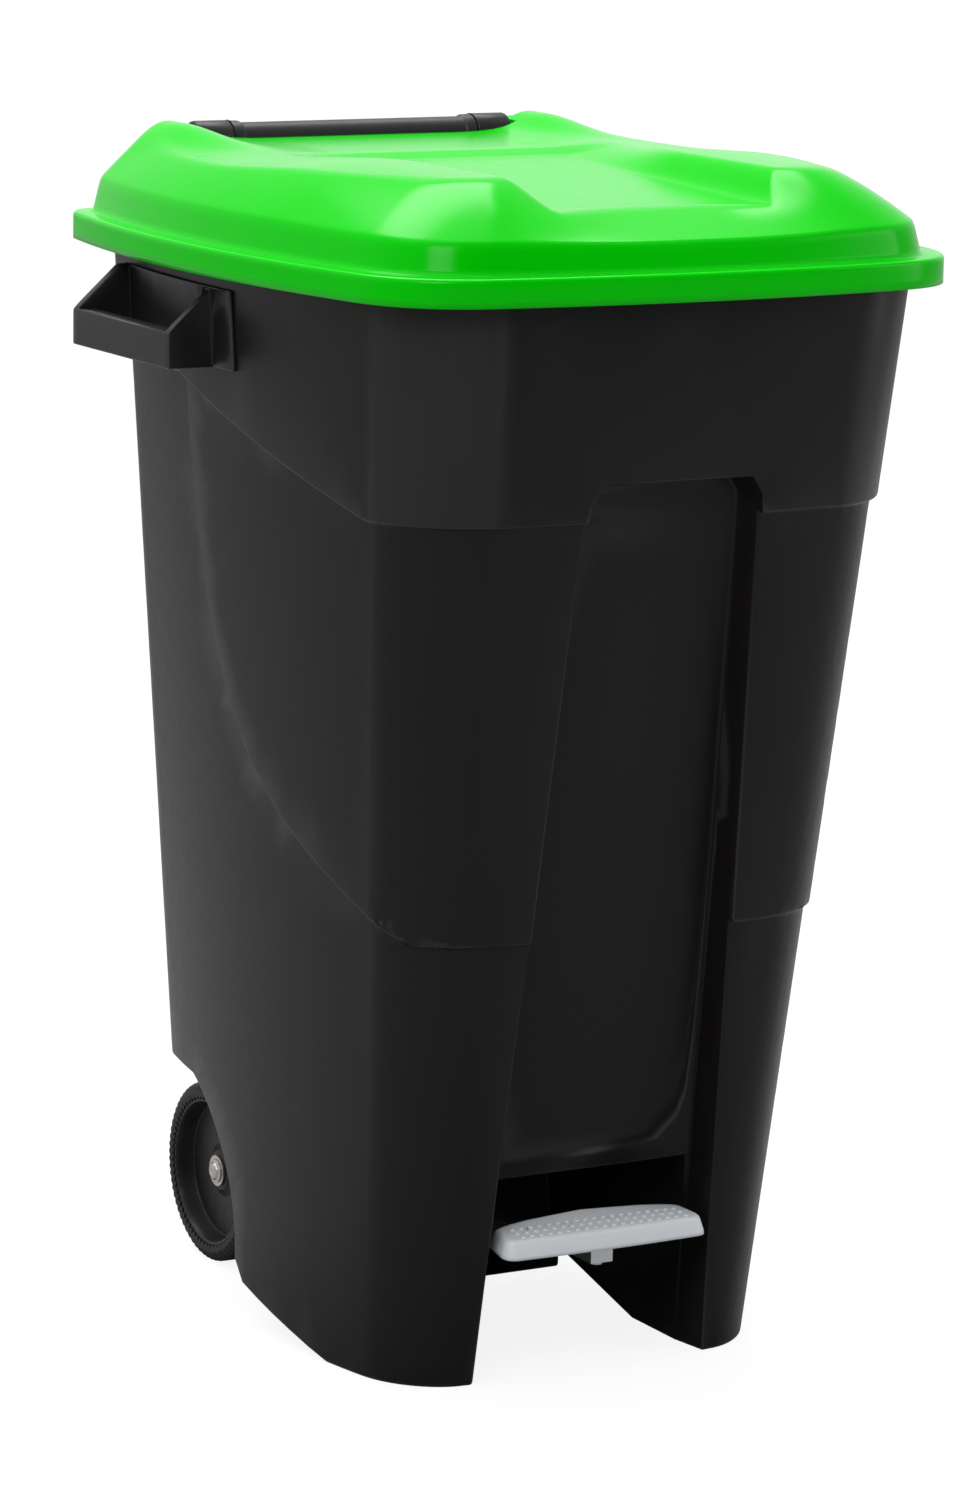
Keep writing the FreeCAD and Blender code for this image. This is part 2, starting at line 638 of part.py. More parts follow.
tread = Part.makeLoft([tread_level(tread_under_z, 0.0), tread_level(pedal_top_z, 4.0)], True, True)
inside_levels = [tread_level(tread_under_z - 1.0, pedal_shell),
                 tread_level(pedal_top_z - pedal_shell, 4.0 + pedal_shell)]
tread_inside = Part.makeLoft(inside_levels, True, True)
pad = block(-lever_half - 6.0, lever_half + 6.0, pedal_front_y + 8.0, pedal_rear_y - 5.0, tread_under_z,
            pedal_top_z - pedal_shell + 1.0)
tread = tread.cut(tread_inside).fuse(pad.common(tread))
tread_screws = [screw_up(0.0, y, tread_under_z - lever_thickness, lever_thickness + 8.0)
                for y in (pedal_front_y + 20.0, pedal_rear_y - 12.0)]
for screw in tread_screws:
    lever = lever.cut(screw)
    tread = tread.cut(screw)
save("pedal_lever", lever)
save("pedal_tread", tread)
save("tread_screws", Part.makeCompound(tread_screws))

# Screws that hold the pivot brackets, the rod guides and the lid yoke
bracket_screws = []
for z in (pivot_z - bracket_drop / 2.0, pivot_z + bracket_drop / 2.0):
    screw = screw_y(foot_half - 7.0, tunnel_end_y - bracket_plate, z, bracket_plate + 8.0)
    bracket = bracket.cut(screw)
    bracket_screws += [screw, mirrored(screw)]
save("pivot_bracket_right", bracket)
save("pivot_bracket_left", mirrored(bracket))
save("bracket_screws", Part.makeCompound(bracket_screws))
guide_screws = []
for low in guide_heights.values():
    screw = screw_y(0.0, 0.0, 0.0, rod_channel_front + rod_guide_rear + wall - 1.0)
    screw.rotate(Vector(0, 0, 0), Vector(0, 0, 1), 180.0)
    screw.translate(Vector(rod_channel_half - 5.0, rod_y + rod_guide_rear, low + guide_height / 2.0))
    guide_screws += [screw, mirrored(screw)]
for name, low in guide_heights.items():
    guide = block(-rod_channel_half, rod_channel_half, rod_y - rod_channel_front, rod_y + rod_guide_rear,
                  low, low + guide_height)
    guide = guide.cut(cylinder_z(rod_radius + guide_gap, 0.0, rod_y, low - 1.0, low + guide_height + 1.0))
    for screw in guide_screws:
        guide = guide.cut(screw)
    save(name, guide)
save("guide_screws", Part.makeCompound(guide_screws))
yoke_screw = screw_up(0.0, yoke_front - 7.0, yoke_roof - yoke_plate, yoke_plate + lid_wall - 1.0)
save("lid_yoke", yoke.cut(yoke_screw))
save("yoke_screw", yoke_screw)
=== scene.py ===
# %% [markdown]
# # A pedal wheelie bin
# The frame gives every part's size and place. This file puts the looks round it: a glossy moulded
# lid, a satin black tub, a grey pedal and two notched wheels. Each step says what the real piece is,
# how it could be made, and why this way was chosen. Sizes in the arrays are in millimetres, and MM
# turns them into the scene's metres.

# %% Load the frame
import json
import math

import bmesh
import bpy
import numpy as np
from mathutils import Matrix, Vector


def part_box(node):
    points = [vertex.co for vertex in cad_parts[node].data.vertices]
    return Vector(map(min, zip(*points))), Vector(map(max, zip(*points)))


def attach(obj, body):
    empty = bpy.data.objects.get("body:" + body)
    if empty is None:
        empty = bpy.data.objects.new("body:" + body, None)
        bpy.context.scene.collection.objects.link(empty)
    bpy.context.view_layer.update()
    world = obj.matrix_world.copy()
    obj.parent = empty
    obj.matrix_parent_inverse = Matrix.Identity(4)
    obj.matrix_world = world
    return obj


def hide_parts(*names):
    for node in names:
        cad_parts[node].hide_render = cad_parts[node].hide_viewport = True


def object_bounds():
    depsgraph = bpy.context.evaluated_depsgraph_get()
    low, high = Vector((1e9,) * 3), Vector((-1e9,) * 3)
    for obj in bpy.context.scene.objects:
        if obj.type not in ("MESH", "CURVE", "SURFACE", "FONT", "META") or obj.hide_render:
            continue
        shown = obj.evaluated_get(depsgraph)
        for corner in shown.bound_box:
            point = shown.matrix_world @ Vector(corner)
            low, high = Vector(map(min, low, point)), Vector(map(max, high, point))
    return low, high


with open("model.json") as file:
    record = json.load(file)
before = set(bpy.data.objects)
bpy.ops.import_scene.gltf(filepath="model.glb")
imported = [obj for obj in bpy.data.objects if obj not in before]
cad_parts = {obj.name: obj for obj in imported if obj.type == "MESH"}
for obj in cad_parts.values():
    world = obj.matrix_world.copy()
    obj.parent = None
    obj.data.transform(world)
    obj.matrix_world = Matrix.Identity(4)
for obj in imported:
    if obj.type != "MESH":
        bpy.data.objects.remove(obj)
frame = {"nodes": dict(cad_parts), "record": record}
cad_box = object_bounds()
MM = 0.001

# %% [markdown]
# ## A mesh from a grid
# Most pieces here are surfaces: a point for every pair (u, v), worked out as whole arrays. One helper
# turns such a grid into a mesh, and can close it in either direction.

# %% Grid helper


def grid_faces(rows, columns, wrap_rows=False, wrap_columns=False):
    """The quads of a rows by columns grid of points, as indices, joined round when it wraps."""
    r = np.arange(rows if wrap_rows else rows - 1)
    c = np.arange(columns if wrap_columns else columns - 1)
    rr, cc = np.meshgrid(r, c, indexing="ij")
    r2, c2 = (rr + 1) % rows, (cc + 1) % columns
    quads = [rr * columns + cc, rr * columns + c2, r2 * columns + c2, r2 * columns + cc]
    return np.stack([q.ravel() for q in quads], axis=1)


def mesh_piece(name, points, faces, material, body):
    """A named object from point and face arrays, smooth shaded, that rides on a body."""
    mesh = bpy.data.meshes.new(name)
    mesh.from_pydata(points.reshape(-1, 3).tolist(), [], faces.tolist())
    mesh.update()
    piece = bpy.data.objects.new(name, mesh)
    bpy.context.scene.collection.objects.link(piece)
    mesh.polygons.foreach_set("use_smooth", np.ones(len(mesh.polygons), bool))
    mesh.materials.append(material)
    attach(piece, body)
    print(name, len(mesh.vertices), "points", len(mesh.polygons), "faces")
    return piece


def smoothstep(low, high, value):
    """0 below low, 1 above high, and an S-curve between them."""
    t = np.clip((value - low) / (high - low), 0.0, 1.0)
    return t * t * (3.0 - 2.0 * t)


# %% [markdown]
# ## Moulded plastic
# The tub is injection-moulded black plastic with a fine spark-eroded grain and faint flow marks, and
# its edges show as thin pale lines. Noise at three sizes on the object's own coordinates gives the
# grain and flow marks: the finest only bends the normal, the middle one changes the roughness, the
# largest the colour. The pale lines are a painted highlight: a lighter colour where the rounded edges
# would catch the light, placed by the Geometry node's Pointiness, which is above a half where a surface
# is convex. A painted mask could place them too, but Pointiness follows the shape by itself.

# %% Plastic material
MOTTLE_SCALE = 9.0
GLOSS_SCALE = 120.0
GRAIN_SCALE = 1500.0
STEEL_GRAIN_SCALE = 900.0
GRAIN_DEPTH = 0.0001
GLOSS_SPREAD = (0.88, 1.14)
# Painted edge highlight: the Pointiness span where the lighter colour fades in, and that lighter colour as
# a lift plus a share of the base colour.
HIGHLIGHT_FROM, HIGHLIGHT_TO = 0.52, 0.66
HIGHLIGHT_LIFT, HIGHLIGHT_KEEP = 0.12, 0.6


def plastic(name, colour, roughness, grain=0.12, grain_scale=GRAIN_SCALE, mottle=0.15, edge_highlight=0.0,
            specular=0.5):
    """A moulded plastic: base colour with soft mottling, uneven roughness, a fine grain, a painted
    highlight on edges.

    The mottling mixes colour * (1 - mottle) with colour * (1 + mottle) by the large noise. On convex
    edges, edge_highlight is how far the colour goes to HIGHLIGHT_LIFT + HIGHLIGHT_KEEP * colour, a
    painted highlight where the rounded edges would catch the light."""
    material = bpy.data.materials.new(name)
    material.use_nodes = True
    tree = material.node_tree
    nodes, links = tree.nodes, tree.links
    shader = nodes["Principled BSDF"]
    shader.inputs["Specular IOR Level"].default_value = specular
    coords = nodes.new("ShaderNodeTexCoord")

    def noise(scale, detail):
        node = nodes.new("ShaderNodeTexNoise")
        node.inputs["Scale"].default_value = scale
        node.inputs["Detail"].default_value = detail
        links.new(coords.outputs["Object"], node.inputs["Vector"])
        return node

    large = noise(MOTTLE_SCALE, 3.0)
    ramp = nodes.new("ShaderNodeMix")
    ramp.data_type = "RGBA"
    dark = tuple(c * (1.0 - mottle) for c in colour) + (1.0,)
    light = tuple(min(1.0, c * (1.0 + mottle)) for c in colour) + (1.0,)
    ramp.inputs["A"].default_value = dark
    ramp.inputs["B"].default_value = light
    links.new(large.outputs["Fac"], ramp.inputs["Factor"])
    # Painted highlight: a lighter colour on convex edges, where the rounded edges would catch the light.
    edge = nodes.new("ShaderNodeMapRange")
    edge.inputs["From Min"].default_value = HIGHLIGHT_FROM
    edge.inputs["From Max"].default_value = HIGHLIGHT_TO
    edge.inputs["To Max"].default_value = edge_highlight
    links.new(nodes.new("ShaderNodeNewGeometry").outputs["Pointiness"], edge.inputs["Value"])
    painted_highlight = nodes.new("ShaderNodeMix")
    painted_highlight.data_type = "RGBA"
    painted_highlight.inputs["B"].default_value = tuple(HIGHLIGHT_LIFT + HIGHLIGHT_KEEP * c for c in colour) + (1.0,)
    links.new(edge.outputs["Result"], painted_highlight.inputs["Factor"])
    links.new(ramp.outputs["Result"], painted_highlight.inputs["A"])
    links.new(painted_highlight.outputs["Result"], shader.inputs["Base Color"])
    middle = noise(GLOSS_SCALE, 4.0)
    spread = nodes.new("ShaderNodeMapRange")
    spread.inputs["To Min"].default_value = roughness * GLOSS_SPREAD[0]
    spread.inputs["To Max"].default_value = roughness * GLOSS_SPREAD[1]
    links.new(middle.outputs["Fac"], spread.inputs["Value"])
    links.new(spread.outputs["Result"], shader.inputs["Roughness"])
    fine = noise(grain_scale, 2.0)
    bump = nodes.new("ShaderNodeBump")
    bump.inputs["Strength"].default_value = grain
    bump.inputs["Distance"].default_value = GRAIN_DEPTH
    links.new(fine.outputs["Fac"], bump.inputs["Height"])
    links.new(bump.outputs["Normal"], shader.inputs["Normal"])
    return material


def steel(name, colour, roughness):
    """Plated steel: the plastic's tree made metallic, with uneven roughness and faint patches."""
    material = plastic(name, colour, roughness, grain=0.05, grain_scale=STEEL_GRAIN_SCALE, mottle=0.1)
    material.node_tree.nodes["Principled BSDF"].inputs["Metallic"].default_value = 1.0
    return material


# The tub and handles get a painted highlight on their convex edges; the other plastics get none.
body_black = plastic("body_black", (0.0058, 0.0050, 0.0047), 0.36, grain=0.2, edge_highlight=0.8, specular=0.14)
handle_black = plastic("handle_black", (0.008, 0.0076, 0.0084), 0.38, edge_highlight=0.6, specular=0.18)
grip_black = plastic("grip_black", (0.016, 0.015, 0.018), 0.42, specular=0.2)
lid_green = plastic("lid_green", (0.0, 0.43, 0.0005), 0.19, grain=0.02, mottle=0.04, specular=0.08)
pedal_grey = plastic("pedal_grey", (0.56, 0.585, 0.61), 0.42, mottle=0.06)
wheel_black = plastic("wheel_black", (0.006, 0.006, 0.0065), 0.42, specular=0.25)
tyre_black = plastic("tyre_black", (0.006, 0.006, 0.006), 0.6, grain=0.3, specular=0.3)
bush_black = plastic("bush_black", (0.03, 0.03, 0.03), 0.5)
galvanised = steel("galvanised", (0.55, 0.56, 0.57), 0.42)
zinc = steel("zinc", (0.42, 0.40, 0.38), 0.38)
FINISH = {"body_plastic": body_black, "handle_plastic": handle_black, "grip_plastic": grip_black,
          "lid_plastic": lid_green, "pedal_plastic": pedal_grey, "galvanised_steel": galvanised,
          "zinc_steel": zinc, "bush_plastic": bush_black, "wheel_plastic": wheel_black,
          "tyre_rubber": tyre_black}
slot_of = {s["node"]: s["material_slot"] for s in frame["record"]["subparts"]}
for name, node in frame["nodes"].items():
    node.data.materials.clear()
    node.data.materials.append(FINISH[slot_of[name]])
print("finishes", len(FINISH))

# %% [markdown]
# ## Soft edges on the moulded pieces
# Every edge of a moulding has a small round where the tool was polished, and it is this round that
# catches the light. The CAD nodes have hard edges, and they may not be changed, so a merged copy of a
# node gets a Bevel modifier that only works on edges sharper than a limit. Modelling each round by
# hand would also work, but the modifier keeps its size the same all over the piece. The left handle
# and wheel are mirror images of the right ones, so their copies start from the mirrored right node.

# %% Rounded copies of CAD nodes
ROUND_SEGMENTS = 3
SHARPER_THAN = math.radians(32.0)
TUB_ROUND, HANDLE_ROUND, WHEEL_ROUND = 2.2, 1.4, 0.8
body_of = {node: body for body, nodes in frame["record"]["behaviour"]["bodies"].items() for node in nodes}


def finish_piece(piece, node):
    """A new piece rides on its node's body and hides the node."""
    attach(piece, body_of[node])
    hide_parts(node)


def softened(node, width, twin=None):
    """A copy of a CAD node, or of its mirrored twin, merged, with a round on each hard edge."""
    mesh = frame["nodes"][twin or node].data.copy()
    work = bmesh.new()
    work.from_mesh(mesh)
    if twin:
        bmesh.ops.scale(work, vec=(-1.0, 1.0, 1.0), verts=work.verts)
        bmesh.ops.reverse_faces(work, faces=work.faces)
    bmesh.ops.remove_doubles(work, verts=work.verts, dist=0.02 * MM)
    work.to_mesh(mesh)
    work.free()
    mesh.polygons.foreach_set("use_smooth", np.ones(len(mesh.polygons), bool))
    piece = bpy.data.objects.new(node + "_moulded", mesh)
    bpy.context.scene.collection.objects.link(piece)
    bevel = piece.modifiers.new("edge round", "BEVEL")
    bevel.width = width * MM
    bevel.segments = ROUND_SEGMENTS
    bevel.limit_method = "ANGLE"
    bevel.angle_limit = SHARPER_THAN
    bevel.use_clamp_overlap = False
    bevel.harden_normals = True
    finish_piece(piece, node)
    print(piece.name, len(mesh.polygons), "faces before the round")
    return piece


softened("tub", TUB_ROUND)
for part, width in (("side_handle", HANDLE_ROUND), ("wheel", WHEEL_ROUND)):
    softened(part + "_right", width)
    softened(part + "_left", width, twin=part + "_right")

# %% [markdown]
# ## The lid
# The real lid is one moulding: a rim skirt, a flat ledge, and a dome whose two shoulders stay high
# while the middle dips into a shallow dish. Box modelling could give it, but one function of the plan
# position is easier to tune: every ring of the grid is the rim's outline drawn inwards, and its
# height is the dome's profile, less the dip of the dish.

# %% Lid sizes
frame_high = cad_box[1][2] / MM
lid_low, lid_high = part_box("lid")
RIM_HALF = lid_high.x / MM
RIM_FRONT = lid_low.y / MM
RIM_REAR = lid_high.y / MM
SKIRT_LOW = lid_low.z / MM
SKIRT_DEPTH = 20.0
SKIRT_HIGH = SKIRT_LOW + SKIRT_DEPTH
LEDGE = 14.0
SIDE_BOW, FRONT_BOW = 22.0, 12.0
FRONT_CORNER, REAR_CORNER = 70.0, 24.0
CORNER_PULL = 0.55
FRONT_COUNT, CORNER_COUNT, SIDE_COUNT, REAR_COUNT = 26, 30, 44, 12
# The dome: a riser off the ledge, then a run up to the crest, longest in the middle of the front.
RISER = 18.0
RISER_START, RISER_END = -1.0, 7.0
RUN, RUN_AT_FRONT, RUN_IN_MIDDLE, RUN_AT_REAR = 60.0, 46.0, 78.0, 26.0
MIDDLE_NEAR, MIDDLE_FAR = 42.0, 150.0
DOME_POWER = 1.4
DOME_SPARE = 1.0
# The crests: highest at the front, a little lower at the back and towards the sides.
CREST = SKIRT_HIGH + 60.0
CREST_BACK_DROP, CREST_SIDE_DROP = 6.0, 5.0
CREST_SIDE_NEAR, CREST_SIDE_FAR = 130.0, 215.0
BACK_START, BACK_FULL = -70.0, 80.0
# The horns beside the grip.
HORN_TOP = frame_high - 0.4
HORN_X, HORN_WIDTH = 157.0, 26.0
HORN_START, HORN_FULL = 110.0, 220.0
HORN_DOME_RISE, HORN_CREST_RISE = 8.0, 8.5
HORN_EDGE = 24.0
# The dish: a ramp up to the back, then a step to the plateau, between banks that climb to the crests.
DISH_LOW = SKIRT_HIGH + 37.5
DISH_RISE = 10.0
DISH_START, DISH_LENGTH = -205.0, 275.0
PLATEAU = SKIRT_HIGH + 51.5
STEP_START, STEP_END = 70.0, 86.0
BANK_START, BANK_END, BANK_BACK_WIDER = 84.0, 112.0, 36.0
DOME_BLEND = 3.0
# The wall, and the notch for the grip and its lugs.
LID_WALL = 3.0
GRIP_GAP = 5.5
grip_low, grip_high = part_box("grip_tube")
BACK_Y = grip_low.y / MM - GRIP_GAP
LUG_ROOM = 135.0
print("lid box", RIM_HALF, RIM_FRONT, RIM_REAR, SKIRT_LOW, "back wall", BACK_Y)

# %% Rim outline


def bezier(start, pull_start, pull_end, end, count):
    """Points on a cubic curve between two ends, pulled towards two poles; the last is left out."""
    t = np.linspace(0.0, 1.0, count, endpoint=False)[:, None]
    poles = [np.array(p, float) for p in (start, pull_start, pull_end, end)]
    return ((1 - t) ** 3 * poles[0] + 3 * (1 - t) ** 2 * t * poles[1]
            + 3 * (1 - t) * t ** 2 * poles[2] + t ** 3 * poles[3])


def rim_outline(inset):
    """The rim's closed outline, set in: parabolic bows on the front and sides, cubic corners.

    The front is y = front + FRONT_BOW * s^2 and the side x = end + SIDE_BOW * (1 - s^2), with s from
    the middle of each. The corner curves leave and arrive along the slopes of the two bows."""
    half, front = RIM_HALF - inset, RIM_FRONT + inset
    rear = RIM_REAR - 0.3 * inset
    corner = FRONT_CORNER - 0.5 * inset
    end, flat = half - SIDE_BOW, front + FRONT_BOW
    reach = (rear - REAR_CORNER - flat - corner) / 2.0
    lean_front = 2.0 * FRONT_BOW / (end - corner)
    lean_side = 2.0 * SIDE_BOW / reach
    pull = CORNER_PULL
    s = np.linspace(0.0, 1.0, FRONT_COUNT, endpoint=False)
    front_run = np.stack([s * (end - corner), front + FRONT_BOW * s * s], axis=1)
    leave = (end - corner * (1 - pull), flat + lean_front * corner * pull)
    arrive = (end - lean_side * corner * pull, flat + corner * (1 - pull))
    corner_run = bezier((end - corner, flat), leave, arrive, (end, flat + corner), CORNER_COUNT)
    s = np.linspace(-1.0, 1.0, SIDE_COUNT, endpoint=False)
    side_run = np.stack([end + SIDE_BOW * (1 - s * s), (flat + corner + reach) + reach * s], axis=1)
    leave = (end - lean_side * REAR_CORNER * pull, rear - REAR_CORNER * (1 - pull))
    arrive = (end - REAR_CORNER * (1 - pull), rear)
    rear_run = bezier((end, rear - REAR_CORNER), leave, arrive, (end - REAR_CORNER, rear), REAR_COUNT)
    s = np.linspace(1.0, 0.0, FRONT_COUNT)
    back_run = np.stack([s * (end - REAR_CORNER), np.full(FRONT_COUNT, rear)], axis=1)
    right = np.concatenate([front_run, corner_run, side_run, rear_run, back_run])
    left = right[-2:0:-1] * [-1.0, 1.0]
    return np.concatenate([right, left])


ledge_ring = rim_outline(LEDGE)
print("rim columns", len(ledge_ring))

# %% Lid height


def soft_min(a, b, width):
    """The lower of two heights, with a round of the given width where they cross."""
    mix = np.clip(0.5 + 0.5 * (b - a) / width, 0.0, 1.0)
    return b + (a - b) * mix - width * mix * (1.0 - mix)


def lid_height(x, y, inward, frontness, rearness):
    """The dome's rise from the ledge, less the dish, plus the two horns beside the grip.

    The rise is a short riser, then 1 - (1 - inward / run)^DOME_POWER over a run that is longest in the
    middle of the front. The dish is a ramp that climbs to the back, and its banks rise to the two
    crests in an S-curve. A small step parts it from the plateau. The lid is the lower of the dome and
    the dish. A horn is a bell of |x| round HORN_X that grows from HORN_START to HORN_FULL along y."""
    side = np.abs(x)
    middle = 1.0 - smoothstep(MIDDLE_NEAR, MIDDLE_FAR, side)
    run = RUN + frontness * (RUN_AT_FRONT + RUN_IN_MIDDLE * middle) - RUN_AT_REAR * rearness
    climb = 1.0 - (1.0 - np.clip(inward / run, 0.0, 1.0)) ** DOME_POWER
    horn = np.exp(-((side - HORN_X) / HORN_WIDTH) ** 2) * smoothstep(HORN_START, HORN_FULL, y)
    top = CREST + DOME_SPARE + HORN_DOME_RISE * horn
    dome = SKIRT_HIGH + RISER * smoothstep(RISER_START, RISER_END, inward)
    dome = dome + (top - SKIRT_HIGH - RISER) * climb
    back = smoothstep(BACK_START, BACK_FULL, y)
    crest = CREST - CREST_BACK_DROP * back
    crest = crest - CREST_SIDE_DROP * smoothstep(CREST_SIDE_NEAR, CREST_SIDE_FAR, side)
    crest = crest + (HORN_TOP - CREST + HORN_CREST_RISE) * horn * smoothstep(0.0, HORN_EDGE, inward)
    ramp = DISH_LOW + DISH_RISE * np.clip((y - DISH_START) / DISH_LENGTH, 0.0, 1.0)
    ramp = ramp + (PLATEAU - ramp) * smoothstep(STEP_START, STEP_END, y)
    dish = ramp + (crest - ramp) * smoothstep(BANK_START, BANK_END + BANK_BACK_WIDER * back, side)
    return soft_min(dome, dish, DOME_BLEND)


# %% Lid surface
SPINE_FRONT, SPINE_REAR = 210.0, 60.0
FRONT_POWER = 1.5
DOME_ROWS = 105
ROW_POWER = 1.12
# Each row is an inset and a height: up the skirt, round its top edge, and in along the ledge.
edge_rows = [(0.0, SKIRT_LOW), (0.0, SKIRT_LOW + 6.0), (0.0, SKIRT_HIGH - 6.0), (0.0, SKIRT_HIGH - 3.0),
             (0.5, SKIRT_HIGH - 1.2), (1.6, SKIRT_HIGH - 0.3), (3.0, SKIRT_HIGH), (LEDGE - 3.0, SKIRT_HIGH)]
rings = [np.column_stack([rim_outline(inset), np.full(len(ledge_ring), z)]) for inset, z in edge_rows]
spine_y = np.clip(ledge_ring[:, 1], RIM_FRONT + SPINE_FRONT, RIM_REAR - SPINE_REAR)
spoke = np.stack([-ledge_ring[:, 0], spine_y - ledge_ring[:, 1]], axis=1)
length = np.linalg.norm(spoke, axis=1)
frontness = np.clip(spoke[:, 1] / length, 0.0, 1.0) ** FRONT_POWER
rearness = np.clip(-spoke[:, 1] / length, 0.0, 1.0)
for share in np.linspace(0.0, 1.0, DOME_ROWS) ** ROW_POWER:
    plan = ledge_ring + spoke * share
    z = lid_height(plan[:, 0], plan[:, 1], share * length, frontness, rearness)
    rings.append(np.column_stack([plan, z]))
lid_points = np.array(rings) * MM
lid_faces = grid_faces(*lid_points.shape[:2], wrap_columns=True)
print("lid grid", lid_points.shape)

# %% [markdown]
# The back of the lid is notched for the grip and its two lugs. A Boolean could cut it, but three
# straight cuts through the surface, before it gets its wall, leave a cleaner edge. Solidify then makes
# the wall. A back wall, again a grid, closes the notch towards the front. The notch's two short ends
# stay open, with a hinge knuckle in each.

# %% Lid wall and notch


def notched(work, half, back):
    """Cut the surface along the notch's three planes and take out what lies between them."""
    planes = (((half, 0, 0), (1, 0, 0)), ((-half, 0, 0), (-1, 0, 0)), ((0, back, 0), (0, 1, 0)))
    for place, normal in planes:
        geometry = work.verts[:] + work.edges[:] + work.faces[:]
        bmesh.ops.bisect_plane(work, geom=geometry, plane_co=place, plane_no=normal, dist=1e-6)
    inside = []
    for face in work.faces:
        centre = face.calc_center_median()
        if abs(centre.x) < half and centre.y > back:
            inside.append(face)
    bmesh.ops.delete(work, geom=inside, context="FACES")


def walled(name, points, faces, notch=False):
    """A lid surface made a closed shell: merged at its seam, notched if asked, with a wall inwards."""
    mesh = bpy.data.meshes.new(name)
    mesh.from_pydata(points.reshape(-1, 3).tolist(), [], faces.tolist())
    work = bmesh.new()
    work.from_mesh(mesh)
    bmesh.ops.remove_doubles(work, verts=work.verts, dist=0.01 * MM)
    if notch:
        notched(work, LUG_ROOM * MM, BACK_Y * MM)
    work.to_mesh(mesh)
    work.free()
    mesh.materials.append(lid_green)
    mesh.polygons.foreach_set("use_smooth", np.ones(len(mesh.polygons), bool))
    piece = bpy.data.objects.new(name, mesh)
    bpy.context.scene.collection.objects.link(piece)
    shell = piece.modifiers.new("wall", "SOLIDIFY")
    shell.thickness = LID_WALL * MM
    shell.offset = -1.0
    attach(piece, "lid")
    print(name, len(mesh.vertices), "points")
    return piece


lid_shell = walled("lid_shell", lid_points, lid_faces, notch=True)
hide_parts("lid")

# %% Back wall
WALL_COLUMNS, WALL_ROWS = 60, 12
WALL_OVERLAP = 6.0
WALL_TOP_GAP = 1.0


def top_at(x, y):
    """The lid's upper surface where the dome has finished its rise."""
    return lid_height(x, y, np.full_like(x, RUN), np.zeros_like(x), np.zeros_like(x))


across = np.linspace(LUG_ROOM + LID_WALL, -LUG_ROOM - LID_WALL, WALL_COLUMNS)
wall_foot = SKIRT_HIGH - WALL_OVERLAP
wall_head = top_at(across, np.full(WALL_COLUMNS, BACK_Y)) - WALL_TOP_GAP
z = wall_foot + (wall_head - wall_foot) * np.linspace(0.0, 1.0, WALL_ROWS)[:, None]
wall_points = np.stack([np.broadcast_to(across, z.shape), np.full(z.shape, BACK_Y), z], axis=2) * MM
walled("lid_back_wall", wall_points, grid_faces(*wall_points.shape[:2]))

# %% [markdown]
# ## Turned pieces
# Tyres, caps, the hinge knuckles and the grip sleeve are all round about a line along X. Each is one
# profile of (x, radius) points carried round that line. A screw modifier would do it too, but here the
# tyre's radius also changes with the angle, which cuts its notched tread.

# %% Turned surface
CREASE = math.radians(38.0)


def turned(name, profile, centre_y, centre_z, columns, node, tread=None):
    """A closed profile carried round a line along X; tread takes a depth off the radius by angle.

    A profile point (x, r) gives (x, centre_y + r cos a, centre_z + r sin a) at every angle a."""
    x = np.array([p[0] for p in profile])[:, None]
    radius = np.array([p[1] for p in profile])[:, None]
    angle = np.linspace(0.0, 2.0 * np.pi, columns, endpoint=False)[None, :]
    if tread is not None:
        radius = radius - tread(x, angle)
    y = centre_y + radius * np.cos(angle)
    z = centre_z + radius * np.sin(angle)
    points = np.stack([np.broadcast_to(x, y.shape), y, z], axis=2) * MM
    faces = grid_faces(*points.shape[:2], wrap_rows=True, wrap_columns=True)
    piece = mesh_piece(name, points, faces, FINISH[slot_of[node]], body_of[node])
    work = bmesh.new()
    work.from_mesh(piece.data)
    bmesh.ops.remove_doubles(work, verts=work.verts, dist=0.001 * MM)
    bmesh.ops.recalc_face_normals(work, faces=work.faces)
    work.to_mesh(piece.data)
    work.free()
    piece.data.set_sharp_from_angle(angle=CREASE)
    return piece


def rounded_profile(corners, steps=5):
    """A closed profile from (x, radius, round) corners; each round is a quadratic curve of steps points.

    The curve is (1 - t)^2 start + 2 (1 - t) t corner + t^2 end, round_size away on either side."""
    out = []
    count = len(corners)
    for i, (x, r, round_size) in enumerate(corners):
        here = np.array([x, r])
        before = np.array(corners[i - 1][:2]) - here
        after = np.array(corners[(i + 1) % count][:2]) - here
        start = here + before / max(np.linalg.norm(before), 1e-9) * round_size
        end = here + after / max(np.linalg.norm(after), 1e-9) * round_size
        for t in np.linspace(0.0, 1.0, steps if round_size > 0 else 1):
            out.append(tuple((1 - t) ** 2 * start + 2 * (1 - t) * t * here + t * t * end))
    return out


# %% Tyres and caps
SIDES = (("left", -1.0), ("right", 1.0))
NOTCHES = 68
COLUMNS_PER_NOTCH = 6
TREAD_DEPTH = 2.6
NOTCH_STEEPNESS = 1.4
NOTCH_NEAR = (0.08, 0.20)
NOTCH_FAR = (0.47, 0.50)
BEAD, SIDEWALL, SHOULDER = 1.0, 7.0, 3.5
SIDEWALL_ROUND, SHOULDER_ROUND = 2.0, 3.0
TREAD_ROWS = (-9.0, -4.0, 4.0, 9.0)
CAP_COLUMNS = 64


